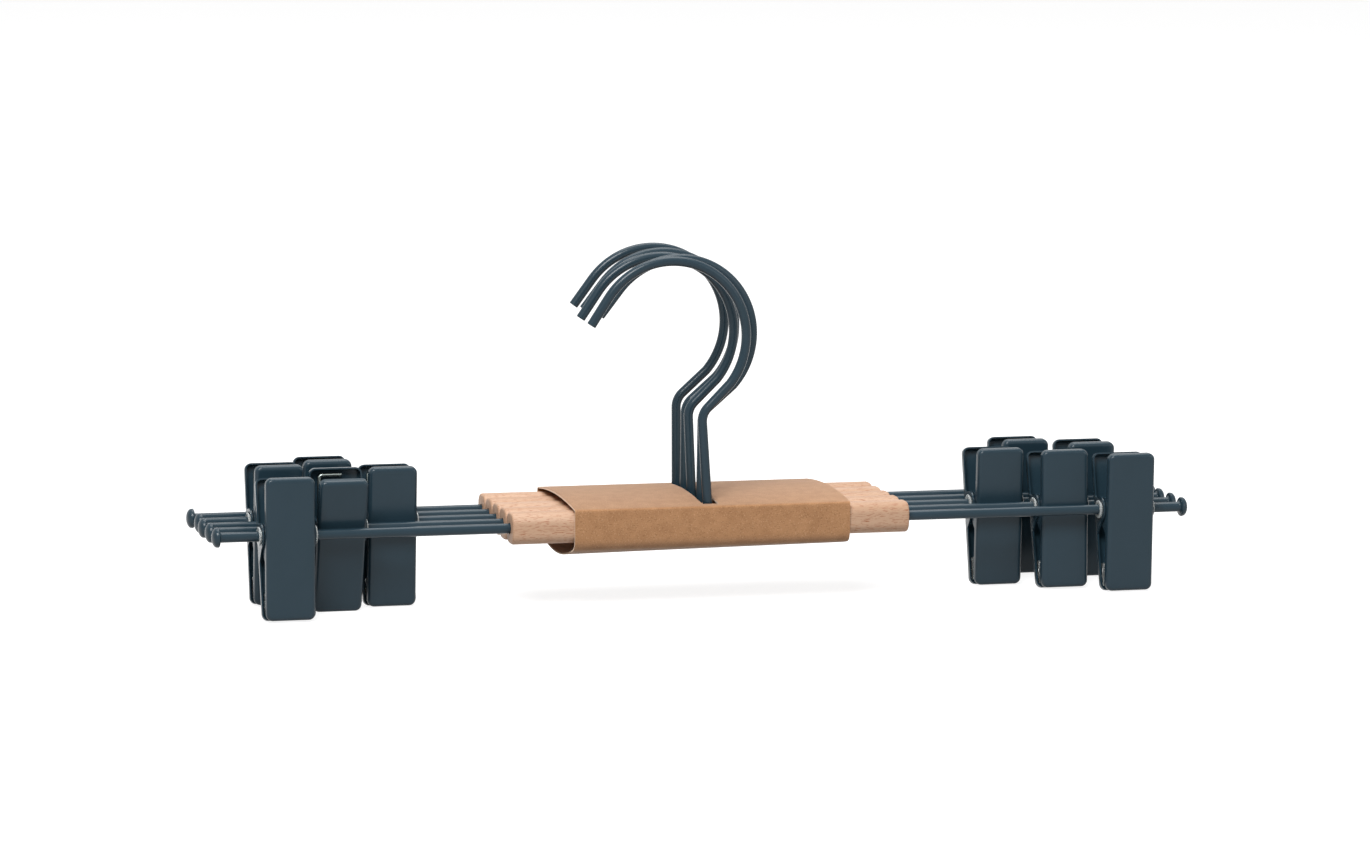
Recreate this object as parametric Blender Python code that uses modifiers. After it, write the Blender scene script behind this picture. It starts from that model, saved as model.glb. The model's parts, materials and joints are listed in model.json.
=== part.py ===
"""Five clip hangers with wooden bars, packed in one board sleeve.

Each hanger lies along X, the hangers stand one behind another along Y, and
their hooks point up. A hanger is drawn about the axis of its own rod. The
whole bundle is set down on its clips at the end. Lengths are in metres.
"""

import math

import bmesh
import bpy
from mathutils import Matrix, Vector

# Clearances and helpers
GAP = 0.0003
OVERRUN = 0.003
SAME_PLACE = 0.000001

# The row of hangers
HANGER_COUNT = 5
HANGER_PITCH = 0.0125

# Wood bar
BAR_LENGTH = 0.1624
BAR_DEPTH = 0.0122
BAR_HEIGHT = 0.0124
BAR_ROUND = 0.0044
BAR_END_ROUND = 0.0009

# Rod with its two domed heads. It reaches beyond the bar at both ends, in each hanger a
# little further at one side.
ROD_REACH = 0.1188
ROD_SHIFTS = (0.0003, 0.0, -0.0005, 0.0002, -0.0008)
ROD_RADIUS = 0.0020
HEAD_RADIUS = 0.0039
HEAD_THICKNESS = 0.0030
HEAD_DOME = 0.0021
NECK_FLARE = 0.0007

# Hook
HOOK_WIRE_RADIUS = 0.0019
HOOK_SHIFT = -0.0003
HOOK_BOW_RADIUS = 0.0305
HOOK_BOW_OFFSET = 0.0104
HOOK_BOW_HEIGHT = 0.0731
HOOK_NECK_DEGREES = 48.5
HOOK_BOW_END_DEGREES = 143
HOOK_BEND_RADIUS = 0.0077
HOOK_TAIL = 0.0129
HOOK_LEAN_DEGREES = (-4.2, 0.5, -2.9, 0.2, -0.6)
HOOK_LIFTS = (0.0015, 0.0, 0.0003, 0.0, 0.0008)

# Jaws
JAW_WIDTH = 0.0194
JAW_RISE = 0.0234
JAW_DROP = 0.0324
JAW_STANDOFF = 0.0081
JAW_DEGREES = 7.5
JAW_SHEET = 0.0006
JAW_CORNER = 0.0026
JAW_BEND = 0.0015
JAW_WALL = 0.0034
EAR_RADIUS = 0.0051
EAR_SPREAD = 0.0096
EAR_FOOT_DEGREES = -80

# Bush
BUSH_WALL = 0.0007
BUSH_FLANGE_RADIUS = 0.0037
BUSH_FLANGE_THICKNESS = 0.0006

# Spring
SPRING_WIRE_RADIUS = 0.0007
SPRING_ROOM = 0.0007
SPRING_TURNS = 3.5
SPRING_PITCH = 0.0022
SPRING_LEG_HEIGHT = 0.0205
SPRING_JOG_HEIGHT = 0.0070
SPRING_LEG_REACH = 0.0063
SPRING_FOOT = 0.0090
SPRING_BEND_RADIUS = 0.0014

# Where the clips sit: each hanger's clips are in one of three columns
CLIP_COLUMNS = (0, 1, 2, 0, 1)
CLIP_INSET = 0.0297
CLIP_SLACK = 0.0019
LEFT_SHIFT_SHARES = (-0.020, 0.005, 0.010, -0.155, -0.088)
RIGHT_SHIFT_SHARES = (0.187, 0.160, 0.135, -0.041, -0.093)
LEFT_LEAN_SHARES = (-1.15, 1, -0.65, -0.65, -0.5)
RIGHT_LEAN_SHARES = (-0.9, -1.3, -0.8, -0.5, -0.6)

# Sleeve
SLEEVE_LENGTH = 0.1126
SLEEVE_SHIFT = -0.0002
SLEEVE_BOARD = 0.0006
SLEEVE_ROOM = 0.0006
SLEEVE_CROWN = 0.0022
SLEEVE_DROP = 0.0008
SLEEVE_SAG = 0.0050
SLOT_ROOM = 0.0017
SLOT_HALF_WIDTH = 0.0033
SLOT_SHIFT = -0.0003

# How finely the round stretches are drawn
TURNED_STEPS = 12
HOOK_BOW_STEPS = 15
CURL_POINTS = 8
CROWN_STEPS = 8
CORNER_STEPS = 2
INSIDE_STEPS = 1
BAR_ROUND_STEPS = 3
BAR_END_STEPS = 1
EAR_STEPS = 6
BEND_STEPS = 3
MILLIMETRES = 1000

# An arc, as the share that a bevel's profile takes
ROUND_PROFILE_SHARE = 0.5

# Sizes that follow from the ones above
ROD_LENGTH = BAR_LENGTH + 2 * ROD_REACH
BORE_RADIUS = ROD_RADIUS + GAP
BARREL_RADIUS = BORE_RADIUS + BUSH_WALL
EAR_HOLE_RADIUS = BARREL_RADIUS + GAP
REAR_JAW_WIDTH = JAW_WIDTH + 2 * (JAW_SHEET + GAP)
BUSH_LENGTH = REAR_JAW_WIDTH + 2 * (GAP + BUSH_FLANGE_THICKNESS)
COIL_RADIUS = BARREL_RADIUS + SPRING_ROOM + SPRING_WIRE_RADIUS
CLIP_STEP = REAR_JAW_WIDTH + CLIP_SLACK
SLEEVE_HALF_DEPTH = (
    (HANGER_COUNT - 1) * HANGER_PITCH / 2 + BAR_DEPTH / 2 + GAP + SLEEVE_BOARD
)
SLEEVE_HALF_HEIGHT = BAR_HEIGHT / 2 + SLEEVE_ROOM + SLEEVE_BOARD
JAW_ANGLE = math.radians(JAW_DEGREES)

# A flat outline is drawn in X and Y. This turns it to Y and Z, with its depth along X.
ACROSS = Matrix(((0, 0, 1, 0), (1, 0, 0, 0), (0, 1, 0, 0), (0, 0, 0, 1)))


def clear_scene():
    for obj in list(bpy.data.objects):
        bpy.data.objects.remove(obj)


def new_collection(name):
    collection = bpy.data.collections.new(name)
    bpy.context.scene.collection.children.link(collection)
    return collection


def make_material(name, colour, roughness, metallic=0.0, transmission=0.0):
    material = bpy.data.materials.new(name)
    material.use_nodes = True
    shader = material.node_tree.nodes["Principled BSDF"]
    shader.inputs["Base Color"].default_value = (*colour, 1.0)
    shader.inputs["Roughness"].default_value = roughness
    shader.inputs["Metallic"].default_value = metallic
    shader.inputs["Transmission Weight"].default_value = transmission
    material.diffuse_color = (*colour, 1.0)
    return material


def add_object(name, data, collection, parent=None, location=(0, 0, 0), rotation=(0, 0, 0)):
    obj = bpy.data.objects.new(name, data)
    collection.objects.link(obj)
    obj.parent = parent
    obj.location = location
    obj.rotation_euler = rotation
    return obj


def add_part(name, mesh, material, parent, location=(0, 0, 0), rotation=(0, 0, 0)):
    mesh.materials.clear()
    mesh.materials.append(material)
    return add_object(name, mesh, PARTS, parent, location, rotation)


def add_cutter(name, mesh, parent=None, location=(0, 0, 0), rotation=(0, 0, 0)):
    cutter = add_object(name, mesh, CUTTERS, parent, location, rotation)
    cutter.hide_render = True
    cutter.display_type = "WIRE"
    return cutter


def finished(mesh):
    """Weld the caps, turn the faces out and shade the round stretches smooth."""
    shape = bmesh.new()
    shape.from_mesh(mesh)
    bmesh.ops.remove_doubles(shape, verts=shape.verts, dist=SAME_PLACE)
    bmesh.ops.recalc_face_normals(shape, faces=shape.faces)
    shape.to_mesh(mesh)
    shape.free()
    mesh.shade_smooth()
    mesh.set_sharp_from_angle(angle=math.radians(40))
    return mesh


def baked(obj):
    """The object's evaluated mesh, in place of the object."""
    depsgraph = bpy.context.evaluated_depsgraph_get()
    mesh = bpy.data.meshes.new_from_object(obj.evaluated_get(depsgraph))
    mesh.transform(obj.matrix_world)
    bpy.data.objects.remove(obj)
    return finished(mesh)


def combine(obj, operation, other):
    modifier = obj.modifiers.new(operation.lower(), "BOOLEAN")
    modifier.operation = operation
    modifier.solver = "EXACT"
    modifier.object = other


def prism(outlines, depth, frame):
    """Closed flat outlines, filled and given a depth that is centred on them."""
    curve = bpy.data.curves.new("outline", "CURVE")
    curve.dimensions = "2D"
    curve.fill_mode = "BOTH"
    curve.extrude = depth / 2
    for points in outlines:
        spline = curve.splines.new("POLY")
        spline.points.add(len(points) - 1)
        for spot, (across, up) in zip(spline.points, points):
            spot.co = (across, up, 0, 1)
        spline.use_cyclic_u = True
    mesh = baked(add_object("outline", curve, CUTTERS))
    mesh.transform(frame)
    return mesh


def wire(points, radius, resolution):
    """A round wire along the points, with closed ends."""
    curve = bpy.data.curves.new("wire", "CURVE")
    curve.dimensions = "3D"
    curve.bevel_depth = radius
    curve.bevel_resolution = resolution
    curve.use_fill_caps = True
    spline = curve.splines.new("POLY")
    spline.points.add(len(points) - 1)
    for spot, place in zip(spline.points, points):
        spot.co = (*place, 1)
    return baked(add_object("wire", curve, CUTTERS))


def turned(profile, closed):
    """A profile of radius and height turned about Z, then laid along X."""
    count = len(profile)
    edges = [(i, i + 1) for i in range(count - 1)]
    if closed:
        edges.append((count - 1, 0))
    mesh = bpy.data.meshes.new("profile")
    mesh.from_pydata([(radius, 0, height) for radius, height in profile], edges, [])
    obj = add_object("profile", mesh, CUTTERS)
    screw = obj.modifiers.new("turn", "SCREW")
    screw.steps = TURNED_STEPS
    screw.render_steps = TURNED_STEPS
    screw.use_merge_vertices = True
    screw.merge_threshold = SAME_PLACE
    mesh = baked(obj)
    mesh.transform(Matrix.Rotation(math.pi / 2, 4, "Y"))
    return mesh


def cylinder_mesh(radius, length):
    """A cylinder whose foot is at the origin and which runs up Z."""
    shape = bmesh.new()
    bmesh.ops.create_cone(
        shape,
        cap_ends=True,
        segments=TURNED_STEPS,
        radius1=radius,
        radius2=radius,
        depth=length,
        matrix=Matrix.Translation((0, 0, length / 2)),
    )
    mesh = bpy.data.meshes.new("cylinder")
    shape.to_mesh(mesh)
    shape.free()
    return mesh


def along_x(mesh, length):
    """Lay a mesh that runs up Z for the length along X, centred on the origin."""
    mesh.transform(Matrix.Rotation(math.pi / 2, 4, "Y") @ Matrix.Translation((0, 0, -length / 2)))
    return mesh


def arc(centre, radius, first, last, steps):
    """Points on an arc, from the first to the last angle in degrees."""
    points = []
    for step in range(steps + 1):
        angle = math.radians(first + (last - first) * step / steps)
        across = centre[0] + radius * math.cos(angle)
        up = centre[1] + radius * math.sin(angle)
        points.append((across, up))
    return points


def is_along(edge, axis):
    """True if the edge runs along one axis: 0 is X, 1 is Y and 2 is Z."""
    run = edge.verts[1].co - edge.verts[0].co
    return all(abs(run[other]) < SAME_PLACE for other in range(3) if other != axis)


def round_edges(shape, edges, radius, steps):
    bmesh.ops.bevel(
        shape,
        geom=edges,
        offset=radius,
        segments=steps,
        profile=ROUND_PROFILE_SHARE,
        affect="EDGES",
    )


def bar_mesh():
    """A stick with well rounded long edges and a fine round on its two ends."""
    shape = bmesh.new()
    bmesh.ops.create_cube(shape, size=1, matrix=Matrix.Diagonal((BAR_LENGTH, BAR_DEPTH, BAR_HEIGHT, 1)))
    round_edges(shape, [edge for edge in shape.edges if is_along(edge, 0)], BAR_ROUND, BAR_ROUND_STEPS)
    end = BAR_LENGTH / 2 - SAME_PLACE
    rims = [edge for edge in shape.edges if all(abs(v.co.x) > end for v in edge.verts)]
    round_edges(shape, rims, BAR_END_ROUND, BAR_END_STEPS)
    mesh = bpy.data.meshes.new("bar")
    shape.to_mesh(mesh)
    shape.free()
    return finished(mesh)


def rod_mesh():
    """The rod and its heads, turned in one piece."""
    tip = ROD_LENGTH / 2
    half = [(0, tip)]
    for degrees in (30, 60, 90):
        angle = math.radians(degrees)
        half.append((HEAD_RADIUS * math.sin(angle), tip - HEAD_DOME * (1 - math.cos(angle))))
    half.append((HEAD_RADIUS, tip - HEAD_THICKNESS))
    half.append((ROD_RADIUS + NECK_FLARE, tip - HEAD_THICKNESS))
    half.append((ROD_RADIUS, tip - HEAD_THICKNESS - NECK_FLARE))
    other_half = [(radius, -height) for radius, height in reversed(half)]
    return turned(half + other_half, closed=False)


def hook_points():
    """Stem, neck, bow and tail, in the hook's own plane, with the rod's axis at zero."""
    neck = math.radians(HOOK_NECK_DEGREES)
    bow_centre = (-HOOK_BOW_OFFSET, HOOK_BOW_HEIGHT)
    bow = arc(
        bow_centre,
        HOOK_BOW_RADIUS,
        HOOK_NECK_DEGREES - 90,
        HOOK_BOW_END_DEGREES,
        HOOK_BOW_STEPS,
    )
    bow_start = bow[0]
    corner_height = bow_start[1] - bow_start[0] / math.tan(neck)
    bend_length = HOOK_BEND_RADIUS * math.tan(neck / 2)
    bend = arc(
        (HOOK_BEND_RADIUS, corner_height - bend_length),
        HOOK_BEND_RADIUS,
        180,
        180 - HOOK_NECK_DEGREES,
        BEND_STEPS,
    )
    end = math.radians(HOOK_BOW_END_DEGREES)
    tip = (
        bow[-1][0] - HOOK_TAIL * math.sin(end),
        bow[-1][1] + HOOK_TAIL * math.cos(end),
    )
    flat = [(0, ROD_RADIUS + GAP), *bend, *bow, tip]
    return [(across, 0, up) for across, up in flat]


def rounded_block(width, low, high, near, far, corner, rim, steps):
    """A block with round upright corners, whose near face is rounded all round its rim."""
    size = Matrix.Diagonal((width, far - near, high - low, 1))
    place = Matrix.Translation((0, (near + far) / 2, (low + high) / 2))
    shape = bmesh.new()
    bmesh.ops.create_cube(shape, size=1, matrix=place @ size)
    round_edges(shape, [edge for edge in shape.edges if is_along(edge, 1)], corner, steps)
    rims = [edge for edge in shape.edges if all(v.co.y < near + SAME_PLACE for v in edge.verts)]
    round_edges(shape, rims, rim, steps)
    mesh = bpy.data.meshes.new("block")
    shape.to_mesh(mesh)
    shape.free()
    return finished(mesh)


def jaw_mesh(width):
    """A pressed channel: plate, side walls, turned lips and an ear on each side.

    The plate stands at -Y and the rod's axis is the origin. Each ear is round at its far
    side, level at its top and slanted below.
    """
    near = -JAW_STANDOFF
    far = EAR_RADIUS + OVERRUN
    outside = rounded_block(
        width, -JAW_DROP, JAW_RISE, near, far, JAW_CORNER, JAW_BEND, CORNER_STEPS
    )
    body = add_object("jaw", outside, CUTTERS)
    wall = near + JAW_WALL
    ear = arc((0, 0), EAR_RADIUS, EAR_FOOT_DEGREES, 90, EAR_STEPS)
    side = [
        (near - OVERRUN, -JAW_DROP - OVERRUN),
        (wall, -JAW_DROP - OVERRUN),
        (wall, -EAR_SPREAD),
        *ear,
        (wall, EAR_RADIUS),
        (wall, JAW_RISE + OVERRUN),
        (near - OVERRUN, JAW_RISE + OVERRUN),
    ]
    trim = add_cutter("jaw_side", prism([side], width + 2 * OVERRUN, ACROSS))
    inside = add_cutter(
        "jaw_inside",
        rounded_block(
            width - 2 * JAW_SHEET,
            -JAW_DROP + JAW_SHEET,
            JAW_RISE - JAW_SHEET,
            near + JAW_SHEET,
            far + OVERRUN,
            JAW_CORNER - JAW_SHEET,
            JAW_BEND - JAW_SHEET,
            INSIDE_STEPS,
        ),
    )
    hole_length = width + 2 * OVERRUN
    hole = add_cutter("jaw_hole", along_x(cylinder_mesh(EAR_HOLE_RADIUS, hole_length), hole_length))
    combine(body, "INTERSECT", trim)
    combine(body, "DIFFERENCE", inside)
    combine(body, "DIFFERENCE", hole)
    mesh = baked(body)
    for cutter in (trim, inside, hole):
        bpy.data.objects.remove(cutter)
    return mesh


def bush_mesh():
    """A flanged tube, whose flanges keep the ears of both jaws between them."""
    end = BUSH_LENGTH / 2
    shoulder = end - BUSH_FLANGE_THICKNESS
    profile = [
        (BORE_RADIUS, end),
        (BUSH_FLANGE_RADIUS, end),
        (BUSH_FLANGE_RADIUS, shoulder),
        (BARREL_RADIUS, shoulder),
        (BARREL_RADIUS, -shoulder),
        (BUSH_FLANGE_RADIUS, -shoulder),
        (BUSH_FLANGE_RADIUS, -end),
        (BORE_RADIUS, -end),
    ]
    return turned(profile, closed=True)


def on_plate(across, up, side):
    """A place where the wire lies on the inside of a plate: -1 is the front jaw, 1 the rear."""
    inner = JAW_STANDOFF - JAW_SHEET - GAP - SPRING_WIRE_RADIUS
    turn = Matrix.Rotation(-side * JAW_ANGLE, 4, "X")
    return turn @ Vector((across, side * inner, up))


def spring_leg(side):
    """One leg, from its free end along the plate down to the jog above the coil."""
    column = -side * SPRING_LEG_REACH
    inward = side
    corner = SPRING_BEND_RADIUS
    points = [on_plate(column + inward * SPRING_FOOT, SPRING_LEG_HEIGHT, side)]
    for step in range(BEND_STEPS):
        angle = math.pi / 2 * step / (BEND_STEPS - 1)
        across = column + inward * corner * (1 - math.sin(angle))
        up = SPRING_LEG_HEIGHT - corner * (1 - math.cos(angle))
        points.append(on_plate(across, up, side))
    points.append(on_plate(column, SPRING_JOG_HEIGHT, side))
    return points


def spring_points():
    """Front leg, coil about the bush, rear leg: one unbroken wire."""
    steps = round(SPRING_TURNS * CURL_POINTS)
    half_coil = SPRING_TURNS * SPRING_PITCH / 2
    coil = []
    for step in range(steps + 1):
        angle = math.pi + 2 * math.pi * step / CURL_POINTS
        across = half_coil - SPRING_PITCH * step / CURL_POINTS
        coil.append(Vector((across, COIL_RADIUS * math.cos(angle), COIL_RADIUS * math.sin(angle))))
    front = spring_leg(-1)
    rear = spring_leg(1)
    return front + coil + rear[::-1]


def least_gap(points, radius):
    """The least free distance between stretches of wire that don't follow each other."""
    lengths = [0.0]
    for here, there in zip(points, points[1:]):
        lengths.append(lengths[-1] + (there - here).length)
    apart = math.pi * COIL_RADIUS
    gaps = []
    for i, here in enumerate(points):
        for j in range(i + 1, len(points)):
            if lengths[j] - lengths[i] > apart:
                gaps.append((points[j] - here).length - 2 * radius)
    return min(gaps)


def sleeve_ring(inset):
    """The sleeve's section in Y and Z: upright front and back, bowed top and bottom."""
    half_depth = SLEEVE_HALF_DEPTH - inset
    half_height = SLEEVE_HALF_HEIGHT - inset
    top = []
    bottom = []
    for step in range(CROWN_STEPS + 1):
        share = 1 - 2 * step / CROWN_STEPS
        bow = 1 - share * share
        top.append((half_depth * share, half_height + SLEEVE_CROWN * bow))
        bottom.append((-half_depth * share, -half_height - SLEEVE_DROP - SLEEVE_SAG * bow))
    return top + bottom


def add_sleeve(parent):
    mesh = prism([sleeve_ring(0), sleeve_ring(SLEEVE_BOARD)], SLEEVE_LENGTH, ACROSS)
    sleeve = add_part("sleeve", mesh, BOARD, parent, location=(SLEEVE_SHIFT, 0, 0))
    reach = (HANGER_COUNT - 1) * HANGER_PITCH / 2 + HOOK_WIRE_RADIUS + SLOT_ROOM - SLOT_HALF_WIDTH
    back_end = arc((0, reach), SLOT_HALF_WIDTH, 0, 180, EAR_STEPS)
    front_end = arc((0, -reach), SLOT_HALF_WIDTH, 180, 360, EAR_STEPS)
    top = SLEEVE_HALF_HEIGHT + SLEEVE_CROWN + OVERRUN
    slot_mesh = prism([back_end + front_end], top, Matrix.Translation((0, 0, top / 2)))
    slot = add_cutter("sleeve_slot", slot_mesh, parent, location=(HOOK_SHIFT + SLOT_SHIFT, 0, 0))
    combine(sleeve, "DIFFERENCE", slot)


def add_bar(number, hanger, lean):
    bar = add_part(f"wood_bar_{number}", bar_mesh(), WOOD, hanger)
    bore_length = BAR_LENGTH + 2 * OVERRUN
    bore_mesh = along_x(cylinder_mesh(BORE_RADIUS, bore_length), bore_length)
    bore = add_cutter(f"bar_bore_{number}", bore_mesh, hanger)
    hole_mesh = cylinder_mesh(HOOK_WIRE_RADIUS + GAP, BAR_HEIGHT / 2 + OVERRUN)
    hole = add_cutter(
        f"stem_hole_{number}", hole_mesh, hanger, location=(HOOK_SHIFT, 0, 0), rotation=(0, lean, 0)
    )
    combine(bar, "DIFFERENCE", bore)
    combine(bar, "DIFFERENCE", hole)


def clip_place(index, side):
    """How far the clip's middle is from the hanger's middle, to the left or the right."""
    shares = LEFT_SHIFT_SHARES if side == "left" else RIGHT_SHIFT_SHARES
    reach = ROD_LENGTH / 2 - CLIP_INSET - CLIP_COLUMNS[index] * CLIP_STEP
    reach += shares[index] * JAW_WIDTH
    return -reach if side == "left" else reach


def add_clip(index, side, hanger):
    """Bush, two jaws and spring about the rod. The rear jaw's ears are the outer ones."""
    number = index + 1
    lean_shares = LEFT_LEAN_SHARES if side == "left" else RIGHT_LEAN_SHARES
    clip = add_object(
        f"clip_{number}_{side}",
        None,
        PARTS,
        hanger,
        location=(clip_place(index, side), 0, 0),
        rotation=(lean_shares[index] * JAW_ANGLE, 0, 0),
    )
    add_part(f"bush_{number}_{side}", BUSH_MESH, PLASTIC, clip)
    add_part(f"front_jaw_{number}_{side}", FRONT_JAW_MESH, STEEL, clip, rotation=(JAW_ANGLE, 0, 0))
    add_part(
        f"rear_jaw_{number}_{side}", REAR_JAW_MESH, STEEL, clip, rotation=(JAW_ANGLE, 0, math.pi)
    )
    add_part(f"spring_{number}_{side}", SPRING_MESH, BRIGHT, clip)


def add_hanger(index, bundle):
    number = index + 1
    depth = (index - (HANGER_COUNT - 1) / 2) * HANGER_PITCH
    hanger = add_object(f"hanger_{number}", None, PARTS, bundle, location=(0, depth, 0))
    lean = math.radians(HOOK_LEAN_DEGREES[index])
    add_bar(number, hanger, lean)
    add_part(f"rod_{number}", ROD_MESH, STEEL, hanger, location=(ROD_SHIFTS[index], 0, 0))
    hook_axis = add_object(
        f"hook_axis_{number}",
        None,
        PARTS,
        hanger,
        location=(HOOK_SHIFT, 0, 0),
        rotation=(0, lean, 0),
    )
    add_part(f"hook_{number}", HOOK_MESH, STEEL, hook_axis, location=(0, 0, HOOK_LIFTS[index]))
    for side in ("left", "right"):
        add_clip(index, side, hanger)


def set_down(bundle):
    """Move the bundle so that the origin is the middle of the ground under its box."""
    bpy.context.view_layer.update()
    depsgraph = bpy.context.evaluated_depsgraph_get()
    places = []
    for obj in PARTS.objects:
        if obj.type == "MESH":
            shape = obj.evaluated_get(depsgraph)
            places += [obj.matrix_world @ vertex.co for vertex in shape.data.vertices]
    low = [min(place[axis] for place in places) for axis in range(3)]
    high = [max(place[axis] for place in places) for axis in range(3)]
    bundle.location = (-(low[0] + high[0]) / 2, -(low[1] + high[1]) / 2, -low[2])
    bpy.context.view_layer.update()


clear_scene()
PARTS = new_collection("clip_hanger_bundle")
CUTTERS = new_collection("cutters")

WOOD = make_material("beech", (0.72, 0.52, 0.38), 0.55)
STEEL = make_material("coated_steel", (0.055, 0.075, 0.085), 0.35, metallic=0.6)
BRIGHT = make_material("bright_wire", (0.66, 0.70, 0.68), 0.25, metallic=1.0)
PLASTIC = make_material("clear_plastic", (0.85, 0.87, 0.85), 0.30, transmission=0.5)
BOARD = make_material("kraft_board", (0.45, 0.25, 0.12), 0.85)

ROD_MESH = rod_mesh()
HOOK_MESH = wire(hook_points(), HOOK_WIRE_RADIUS, resolution=2)
FRONT_JAW_MESH = jaw_mesh(JAW_WIDTH)
REAR_JAW_MESH = jaw_mesh(REAR_JAW_WIDTH)
BUSH_MESH = bush_mesh()
SPRING_PATH = spring_points()
SPRING_MESH = wire(SPRING_PATH, SPRING_WIRE_RADIUS, resolution=1)
SPRING_GAP = least_gap(SPRING_PATH, SPRING_WIRE_RADIUS) * MILLIMETRES
print(f"least gap of a spring to itself: {SPRING_GAP:.2f} mm")

BUNDLE = add_object("bundle", None, PARTS)
add_sleeve(BUNDLE)
for hanger_index in range(HANGER_COUNT):
    add_hanger(hanger_index, BUNDLE)
set_down(BUNDLE)
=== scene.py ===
# %% [markdown]
# # Clip hangers in a board sleeve
#
# Five clip hangers lie side by side with their hooks up. Each has a beech bar, a coated
# steel rod with domed heads, a round hook and two sprung clips, and one sleeve of kraft
# board holds the five bars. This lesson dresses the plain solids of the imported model:
# each piece is made again with finer rounding and gets a finish of its own.

import json
import math

import bmesh
import bpy
from mathutils import Matrix, Vector, noise

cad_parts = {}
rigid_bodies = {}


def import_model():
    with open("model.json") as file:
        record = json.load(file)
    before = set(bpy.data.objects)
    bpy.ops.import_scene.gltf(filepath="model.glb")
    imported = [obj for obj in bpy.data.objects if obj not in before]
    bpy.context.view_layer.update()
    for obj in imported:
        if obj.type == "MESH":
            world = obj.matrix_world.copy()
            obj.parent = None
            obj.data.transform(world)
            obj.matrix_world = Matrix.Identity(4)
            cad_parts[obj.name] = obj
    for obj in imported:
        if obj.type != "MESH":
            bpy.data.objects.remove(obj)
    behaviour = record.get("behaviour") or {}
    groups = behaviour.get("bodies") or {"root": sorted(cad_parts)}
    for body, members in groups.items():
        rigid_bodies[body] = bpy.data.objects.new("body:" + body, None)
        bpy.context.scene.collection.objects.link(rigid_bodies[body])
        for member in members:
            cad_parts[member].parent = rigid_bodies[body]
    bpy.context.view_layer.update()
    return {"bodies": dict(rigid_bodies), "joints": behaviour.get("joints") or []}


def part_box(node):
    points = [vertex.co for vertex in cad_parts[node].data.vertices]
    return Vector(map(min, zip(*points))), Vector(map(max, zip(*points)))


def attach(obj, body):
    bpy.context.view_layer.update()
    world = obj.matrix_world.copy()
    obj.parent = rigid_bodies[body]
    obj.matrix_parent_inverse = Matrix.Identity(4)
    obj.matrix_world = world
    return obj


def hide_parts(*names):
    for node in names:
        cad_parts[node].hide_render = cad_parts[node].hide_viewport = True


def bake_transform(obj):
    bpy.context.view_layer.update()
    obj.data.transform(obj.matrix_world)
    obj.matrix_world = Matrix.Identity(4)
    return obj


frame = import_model()
JOINTS = {joint["name"]: joint for joint in frame["joints"]}
SIDES = ("left", "right")
HANGERS = range(1, 1 + sum(name.startswith("hook_") for name in frame["bodies"]))
MIDDLE_HANGER = 3

# %% [markdown]
# ## The camera
#
# The photograph looks along the hangers' fronts from the left and from a little above,
# through a long lens, so that the hangers behind stand almost as large as those in front.
# A camera that stands far off with a long lens gives the same flat perspective. Its turn,
# height and distance are the real ones, worked out from where the rods' heads lie.

# %% Place the camera
CAMERA_TURN = math.radians(-15.02)
CAMERA_RISE = math.radians(8.0)
CAMERA_ROLL = math.radians(0.52)
CAMERA_DISTANCE = 2.264
CAMERA_SIDE_OFFSET = -0.00335
CAMERA_LIFT = 0.0328
LENS_PIXELS = 5669
IMAGE_WIDTH = 1370
SENSOR_WIDTH = 36.0
VIEW_LIMIT = 100


def rod_point(number):
    """The middle of a hanger's rod, which is where its hook turns."""
    return Vector(JOINTS[f"hook_turn_{number}"]["pos_m"])


def place_camera():
    """Aim at a point near the middle hanger, then roll the picture a little."""
    middle = rod_point(MIDDLE_HANGER)
    target = Vector((CAMERA_SIDE_OFFSET, middle.y, middle.z + CAMERA_LIFT))
    ahead = Vector((
        -math.sin(CAMERA_TURN) * math.cos(CAMERA_RISE),
        math.cos(CAMERA_TURN) * math.cos(CAMERA_RISE),
        -math.sin(CAMERA_RISE),
    ))
    right = ahead.cross(Vector((0, 0, 1))).normalized()
    up = right.cross(ahead)
    rolled_right = right * math.cos(CAMERA_ROLL) + up * math.sin(CAMERA_ROLL)
    rolled_up = up * math.cos(CAMERA_ROLL) - right * math.sin(CAMERA_ROLL)
    camera = bpy.data.objects.new("camera", bpy.data.cameras.new("camera"))
    bpy.context.scene.collection.objects.link(camera)
    turn = Matrix((rolled_right, rolled_up, -ahead)).transposed().to_4x4()
    camera.matrix_world = Matrix.Translation(target - ahead * CAMERA_DISTANCE) @ turn
    camera.data.sensor_width = SENSOR_WIDTH
    camera.data.lens = LENS_PIXELS / IMAGE_WIDTH * SENSOR_WIDTH
    camera.data.clip_end = VIEW_LIMIT
    bpy.context.scene.camera = camera
    print("lens in millimetres:", round(camera.data.lens, 1))


place_camera()

# %% [markdown]
# ## Light and floor
#
# The hangers were photographed on white. Three broad, soft lamps and a pale world give the
# same even light: a key lamp from the left, a weak fill from the right and one from above
# and behind. The floor is a plain pale surface that still takes the shadow. Floor and world
# look white to the camera and in reflections, which gives the round rods their pale line on
# top, as a white tent would.

# %% Light the scene
FLOOR_HALF_SIZE = 12.0
FLOOR_COLOUR = (0.36, 0.36, 0.36)
FLOOR_GLOW = 0.87
FLOOR_ROUGHNESS = 0.9
FLOOR_SHINE = 0.1
WORLD_LIGHT = 0.10
LAMPS = {
    "key": {"place": (-0.9, -1.5, 2.0), "size": 1.2, "power": 68},
    "fill": {"place": (1.8, -1.8, 1.0), "size": 1.4, "power": 10},
    "back": {"place": (0.2, 0.6, 2.3), "size": 2.0, "power": 38},
}


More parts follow.
